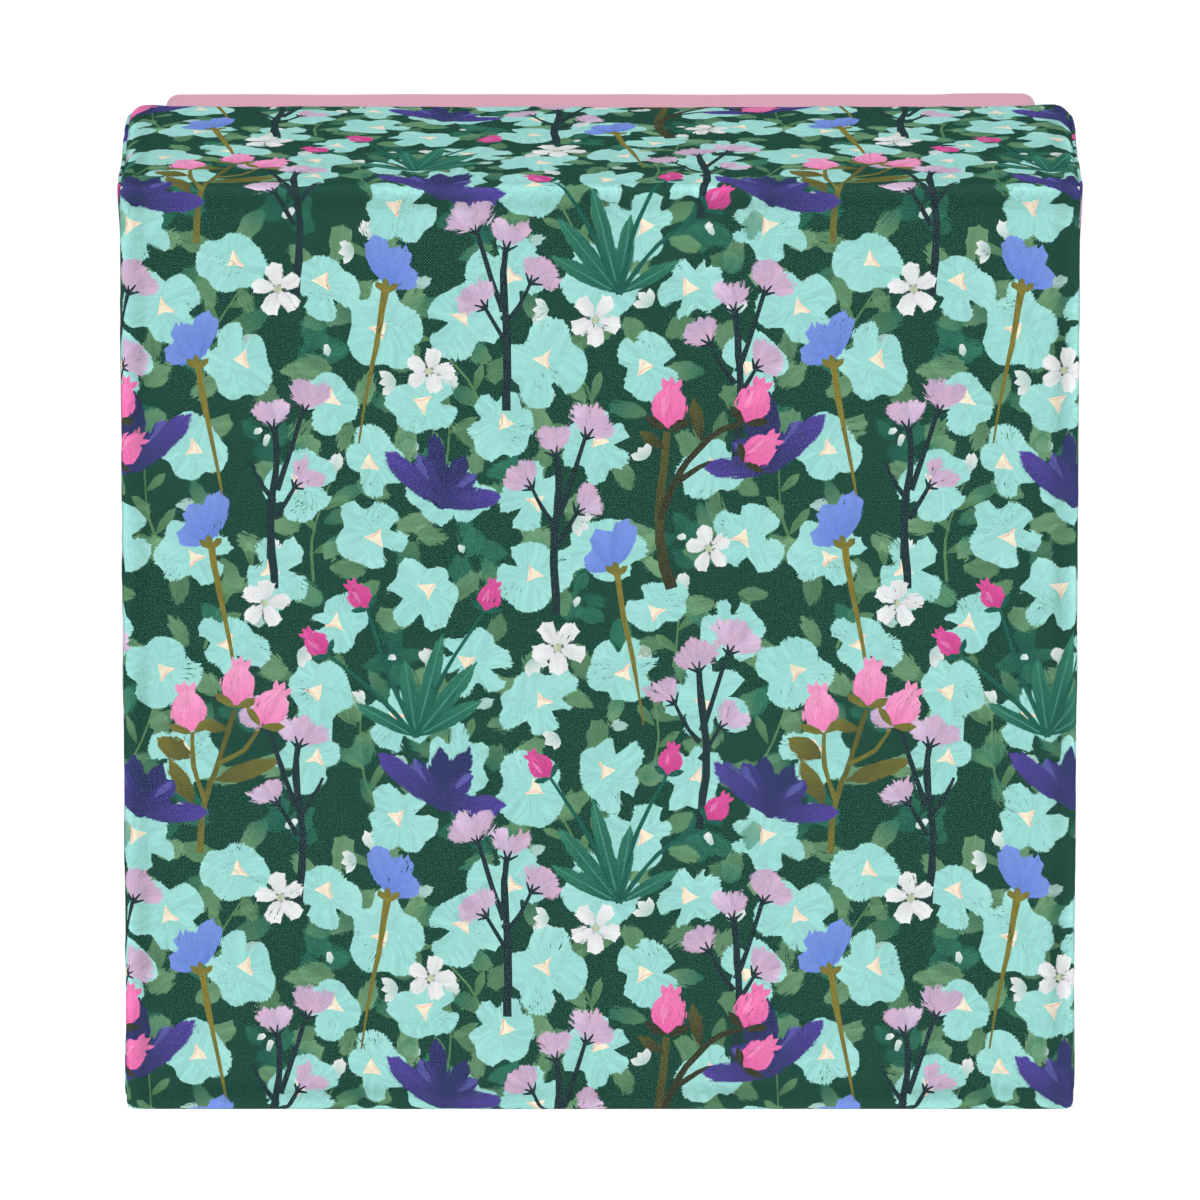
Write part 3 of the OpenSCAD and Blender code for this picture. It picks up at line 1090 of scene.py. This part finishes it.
def paper(name, light, dark, fibre_mm=0.35, roughness=0.75, tooth=0.03, clouds=0.35):
    """Matte uncoated paper or card: soft clouding, fine fibres and a little tooth."""
    m = Nodes(name, roughness, 0.3)
    cloud = m.noise(m.position(), 0.035, 3.0, 0.55)
    fibres = m.noise(m.position((1, 1, 2.5)), 1 / fibre_mm, 4.0, 0.65)
    m.colour(m.ramp(cloud * clouds + fibres * (1 - clouds), (0.3, dark), (0.7, light)))
    m.bump(fibres, tooth, 0.8)
    m.rough_from(cloud, roughness - 0.07, roughness + 0.07)
    return m.material


def greyboard():
    """Recycled grey board: cloudy pulp with darker and lighter specks."""
    m = Nodes("greyboard", 0.9, 0.2)
    pulp = m.noise(m.position(), 0.25, 5.0, 0.6)
    base = m.ramp(pulp, (0.3, (118, 113, 106)), (0.7, (158, 152, 143)))
    plain = (150, 145, 137)
    specks = m.ramp(m.noise(m.position((1, 0.4, 1)), 2.4, 2.0),
                    (0.34, (84, 80, 76)), (0.4, plain), (0.64, plain), (0.72, (196, 190, 178)))
    m.colour(m.mix(0.35, base, specks))
    m.bump(pulp, 0.12, 0.7)
    return m.material


def kraft():
    """Gummed kraft paper: brown, with long fibres and a slight shine."""
    m = Nodes("kraft_paper", 0.6, 0.4)
    fibres = m.noise(m.position((1, 1, 0.12)), 2.2, 4.0, 0.6)
    m.colour(m.ramp(fibres, (0.3, (142, 104, 66)), (0.7, (188, 148, 102))))
    m.bump(fibres, 0.03, 0.6)
    m.rough_from(fibres, 0.5, 0.72)
    return m.material


def wadding():
    """White polyester wadding: matted fibres with soft lumps."""
    m = Nodes("wadding", 0.95, 0.2)
    lumps = m.noise(m.position(), 0.18, 3.0, 0.6)
    fibres = m.noise(m.position((1, 1, 3)), 3.0, 5.0, 0.7)
    m.colour(m.ramp(lumps * 0.5 + fibres * 0.5, (0.35, (206, 203, 196)), (0.65, (246, 245, 241))))
    m.bump(fibres, 0.25, 0.9)
    m.shader["Sheen Weight"].default_value = 0.3
    return m.material


def clear_film():
    """Clear polythene with a faint blue tint, soft creases and handling marks."""
    m = Nodes("clear_film", 0.12)
    marks = m.noise(m.position(), 0.12, 4.0, 0.6)
    m.colour(m.ramp(marks, (0.3, (222, 236, 240)), (0.7, (246, 250, 252))))
    m.rough_from(marks, 0.08, 0.3)
    m.shader["Alpha"].default_value = 0.12
    m.bump(marks, 0.4, 0.5)
    return m.material


# --- Pieces ------------------------------------------------------------------------------------


EDGE_SHEEN_AND_SHADE = 0.2              # how much the painted sheen lightens the cloth along the lid's top edges, and the painted shade darkens the crease inside them


def painted_sheen_and_crease_shade(x, y):
    """The cloth's painted light: a painted sheen, lighter along each top edge, and painted shade, darker in
    the crease inside it.
    """
    uneven = 1 + CREASE_UNEVEN * edge_ripples(x, y)
    painted_light_tone = np.ones_like(x)
    for gap in (HALF - np.abs(x), HALF - np.abs(y)):
        painted_light_tone += EDGE_SHEEN_AND_SHADE * (bump_at(gap, 0.4, 0.8) - bump_at(gap, 3.2, 1.0)) * uneven
    return painted_light_tone


def paint_corners(flat, triangles, coloured):
    """For every corner of every triangle: its ink and how streaky it is, the ink under that and how far
    in from the edge it is, and its place in the brush marks."""
    ink = np.empty((len(triangles), 3, 4))
    ink[:, :, :3] = linear(GROUND)
    ink[:, :, 3] = 0.1
    under = ink.copy()
    under[:, :, 3] = 1.0
    brush = np.zeros((len(triangles), 3, 3))
    cloth = flat[triangles] @ (1, 1j)
    for stack, past_fringe, members in coloured:
        if stack:
            points = cloth[members]
            below = under[members, :, :3]
            for shape in stack[:-1]:
                below = shape.paint(points, below)
            front = stack[-1]
            under[members, :, :3] = below
            under[members, :, 3] = 1.0 if past_fringe else front.edge(points)
            ink[members, :, :3] = front.paint(points, below)
            ink[members, :, 3] = front.stroke
            brush[members] = front.brush(points)
    # the painted sheen along the edges and the painted shade in the creases, multiplied into the inks
    painted_light_tone = PRINT_STRENGTH * painted_sheen_and_crease_shade(*flat.T)[triangles][:, :, None]
    ink[:, :, :3] *= painted_light_tone
    under[:, :, :3] *= painted_light_tone
    return ink, under, brush


def build_cover(material):
    """The printed cloth, cut flat, coloured and folded over the padded lid."""
    flat, triangles, coloured = cut_print(one_repeat())
    x, y = flat.T
    piece = new_piece("printed_cover", fold(x, y), triangles.tolist(), material)
    mesh = piece.data
    ink, under, brush = paint_corners(flat, triangles, coloured)
    cloth = np.column_stack([x, y, 0 * x])
    rows = (("ink", "color", "CORNER", ink), ("under", "color", "CORNER", under),
            ("brush", "vector", "CORNER", brush), ("cloth", "vector", "POINT", cloth))
    for name, kind, domain, values in rows:
        made = mesh.attributes.new(name, "FLOAT_" + kind.upper(), domain)
        made.data.foreach_set(kind, values.ravel())
    mesh.normals_split_custom_set_from_vertices(slopes_to_normals(fold, *keep_side(x, y)))
    a, b, c = (flat[triangles[:, i]] @ (1, 1j) for i in range(3))
    area = float(np.abs(((b - a).conjugate() * (c - a)).imag).sum() / 2)
    side = 2 * (HALF + END_DEPTH) * MM
    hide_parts("lid_fabric_cover")
    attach(piece, "lid")


def build_wadding(material):
    """The wadding under the cloth, one closed layer over the top and walls of the lid."""
    top = np.linspace(-HALF, HALF, 41)
    walls = HALF + np.concatenate([np.linspace(0.8, 4, 4), np.linspace(8, WALL - 1, 13)])
    lines = np.concatenate([-walls[::-1], top, walls])
    x, y = (grid.ravel() for grid in np.meshgrid(lines, lines, indexing="ij"))
    count = len(lines)
    faces = []
    for i in range(count - 1):
        for j in range(count - 1):
            middle = abs(lines[i] + lines[i + 1]) / 2, abs(lines[j] + lines[j + 1]) / 2
            if min(middle) < HALF:
                faces.append((i * count + j, (i + 1) * count + j, (i + 1) * count + j + 1, i * count + j + 1))
    used, faces = np.unique(faces, return_inverse=True)
    points = fold(x[used], y[used], sink=CLOTH)
    piece = new_piece("wadding", points, faces.reshape(-1, 4).tolist(), material)
    edit = bmesh.new()
    edit.from_mesh(piece.data)
    bmesh.ops.remove_doubles(edit, verts=edit.verts, dist=0.05 * MM)
    edit.to_mesh(piece.data)
    edit.free()
    thickness = piece.modifiers.new("thickness", "SOLIDIFY")
    thickness.thickness = (PADDING_HIGH[2] - mm_box("lid_top_board")[1][2]) * MM
    apply_modifiers(piece)
    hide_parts("lid_padding")
    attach(piece, "lid")


def apply_modifiers(piece):
    """Replaces the piece's mesh by its result under its modifiers."""
    bpy.context.view_layer.update()
    made = bpy.data.meshes.new_from_object(piece.evaluated_get(bpy.context.evaluated_depsgraph_get()))
    piece.modifiers.clear()
    piece.data = made


def square_ring(half, radius, per_side=40, per_corner=10):
    """Points round a square with rounded corners."""
    quarter = []
    for i in range(per_side):
        quarter.append(((2 * i / per_side - 1) * (half - radius), -half, 0.0))
    for i in range(per_corner):
        angle = (i / per_corner - 1) * math.pi / 2
        across, down = radius * math.cos(angle), radius * math.sin(angle)
        quarter.append((half - radius + across, down - (half - radius), 0.0))
    turns = -np.repeat(np.arange(4), len(quarter))
    return turn_about_z(np.tile(quarter, (4, 1)), turns)[:, :2]


def swept(section, radius_at, closed=True):
    """A surface round the box from a section of (out, z) points. Returns points and faces."""
    rings = []
    for out, z in section:
        ring = square_ring(out, radius_at(out))
        rings.append(np.column_stack([ring, np.full(len(ring), z)]))
    count = len(rings[0])
    faces = []
    for r in range(len(rings) if closed else len(rings) - 1):
        a, b = r * count, (r + 1) % len(rings) * count
        for i in range(count):
            j = (i + 1) % count
            faces.append((a + i, a + j, b + j, b + i))
    if not closed:
        faces.append(tuple(range(count))[::-1])
        faces.append(tuple((len(rings) - 1) * count + i for i in range(count)))
    return np.concatenate(rings), faces


def arc(centre_out, centre_z, radius, start, end, steps=6):
    """Section points on a round bend, angles in degrees from straight out."""
    for i in range(steps + 1):
        angle = math.radians(start + (end - start) * i / steps)
        yield centre_out + radius * math.cos(angle), centre_z + radius * math.sin(angle)


WRAP_EDGE_R = 0.9      # the paper bends round the board's edges
LAP_WIDTH = 14.0       # the strip's two ends lap at one corner
LAP_STEP = 0.2
RIPPLE = 0.05
FILM = 0.2             # thickness of the film

paper_ripples = Ripples(seed=21, shortest=9, longest=60)
film_ripples = Ripples(seed=31, shortest=12, longest=50)


def build_wrap(material):
    """Pink paper round the base: turned under the bottom, up the walls, over the rim and down inside."""
    half = WRAP_HIGH[0]
    low, high = WRAP_LOW[2] + 0.04, WRAP_HIGH[2]
    inner = -mm_box("base_front_board")[1][1] - 0.9 * CLOTH
    under = half - TURN_IN
    rim_r = min(WRAP_EDGE_R, (half - inner) / 2)
    faces_out = [(under, low), (half - 8, low)]
    faces_out += arc(half - WRAP_EDGE_R, low + WRAP_EDGE_R, WRAP_EDGE_R, -90, 0)
    faces_out += [(half, z) for z in np.linspace(low + 3, high - 3, 18)]
    faces_out += arc(half - rim_r, high - rim_r, rim_r, 0, 90)
    faces_out += arc(inner + rim_r, high - rim_r, rim_r, 90, 180)
    faces_out += [(inner, high - 3), (inner, high - TURN_IN)]
    faces_in = [(inner + CLOTH, high - TURN_IN), (inner + CLOTH, high - CLOTH), (half - CLOTH, high - CLOTH)]
    faces_in += [(half - CLOTH, low + CLOTH), (under, low + CLOTH)]
    points, faces = swept(faces_out + faces_in,
                          lambda out: max(BASE_CORNER_R - (half - out), 0.4) if out > half - 6 else 0.6)
    x, y, z = points.T
    seen = np.arange(len(points)) < len(faces_out) * len(square_ring(half, 1))
    lap = (y > half - 3) & (x > half - LAP_WIDTH - BASE_CORNER_R)
    stand = seen * (RIPPLE * paper_ripples(x + y, z) + np.where(lap, LAP_STEP, 0))
    points = points + unit(points * (1, 1, 0)) * stand[:, None]
    piece = new_piece("pink_wrap", points, faces, material)
    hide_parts("base_wrap")
    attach(piece, "base")


def build_film(material):
    """The waterproof film tray, thin and lightly creased."""
    half, low, high = FILM_HIGH[0] - 0.05, FILM_LOW[2], FILM_HIGH[2]
    outer = [(out, low) for out in np.linspace(6, half - 2, 10)] + [(half - 0.6, low), (half, low + 0.6)]
    outer += [(half, z) for z in np.linspace(low + 4, high, 16)]
    inner = [(out - FILM if out > half - 1 else out, z + FILM if z < low + 1 else z) for out, z in outer]
    points, faces = swept(outer + inner[::-1], lambda out: min(max(3.0 - (half - out), 0.8), out * 0.5),
                          closed=False)
    x, y, z = points.T
    sway = np.clip(0.25 + 0.25 * film_ripples(x * 1.3 + y, z), 0, 1) * smooth((z - low) / 12)
    points = points - unit(points * (1, 1, 0)) * (sway * (z > low + 1))[:, None]
    piece = new_piece("film_tray", points, faces, material)
    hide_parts("base_waterproof_film")
    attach(piece, "base")


# --- Room --------------------------------------------------------------------------------------

TILT = math.radians(13.9)         # the camera leans this far towards the back of the box
TOWARD_CAMERA = Vector((0, math.sin(TILT), math.cos(TILT)))
DISTANCE = 2.5
FRAME_WIDTH = 201.2 * MM          # what the frame takes in at the lid's face
FRAME_LIFT = 8.7 * MM             # how far the frame's middle is above the middle of the face
SENSOR = 36.0
AMBIENT = 0.38
KEY = 3.1
KEY_SPREAD = 6.0                  # degrees
FLOOR_HALF = 6.0                  # metres


def build_camera():
    up = Vector((0, math.cos(TILT), -math.sin(TILT)))
    camera = new_object("camera", bpy.data.cameras.new("camera"))
    camera.data.sensor_width = SENSOR
    camera.data.lens = SENSOR * DISTANCE / FRAME_WIDTH
    camera.data.clip_end = 20
    place = Vector((0, 0, TOP_Z * MM)) + TOWARD_CAMERA * DISTANCE + up * FRAME_LIFT
    axes = Matrix((Vector((1, 0, 0)), up, TOWARD_CAMERA)).transposed()
    camera.matrix_world = Matrix.Translation(place) @ axes.to_4x4()
    bpy.context.scene.camera = camera


def build_key_light():
    """A distant soft light from where the camera is."""
    lamp = bpy.data.lights.new("key", "SUN")
    lamp.energy = KEY
    lamp.angle = math.radians(KEY_SPREAD)
    new_object("key", lamp).rotation_euler = TOWARD_CAMERA.to_track_quat("Z", "Y").to_euler()


def build_room():
    """A plain pale floor, even light from all round and soft light from above."""
    pale = Nodes("floor", 0.9, 0.1)
    pale.colour(pale.ramp(pale.noise(pale.position(), 0.01), (0.3, (240, 240, 241)), (0.7, (243, 243, 244))))
    corners = np.array([(-1, -1, 0), (1, -1, 0), (1, 1, 0), (-1, 1, 0)]) * FLOOR_HALF / MM
    floor = new_piece("floor", corners, [(0, 1, 2, 3)], pale.material)
    world = bpy.data.worlds.new("studio")
    world.use_nodes = True
    background = world.node_tree.nodes["Background"].inputs
    background["Color"].default_value = (1, 1, 1, 1)
    background["Strength"].default_value = AMBIENT
    bpy.context.scene.world = world
    build_key_light()
    bpy.context.scene.view_settings.view_transform = "Standard"


NODE_FINISHES = {
    "board": greyboard(),
    "stay": kraft(),
    "liner": paper("lining_card", (246, 241, 230), (232, 226, 212)),
    "sheet": paper("underside_paper", (236, 232, 224), (222, 217, 206)),
}


def finish_cad_nodes():
    """The boards, stays and linings keep their CAD shape and get real materials."""
    for name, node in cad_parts.items():
        for word, material in NODE_FINISHES.items():
            if word in name.split("_"):
                node.data.materials.clear()
                node.data.materials.append(material)


build_camera()
build_room()
finish_cad_nodes()
build_wadding(wadding())
build_cover(printed_cotton())
build_wrap(paper("pink_wrap", (214, 163, 181), (204, 151, 169)))
build_film(clear_film())
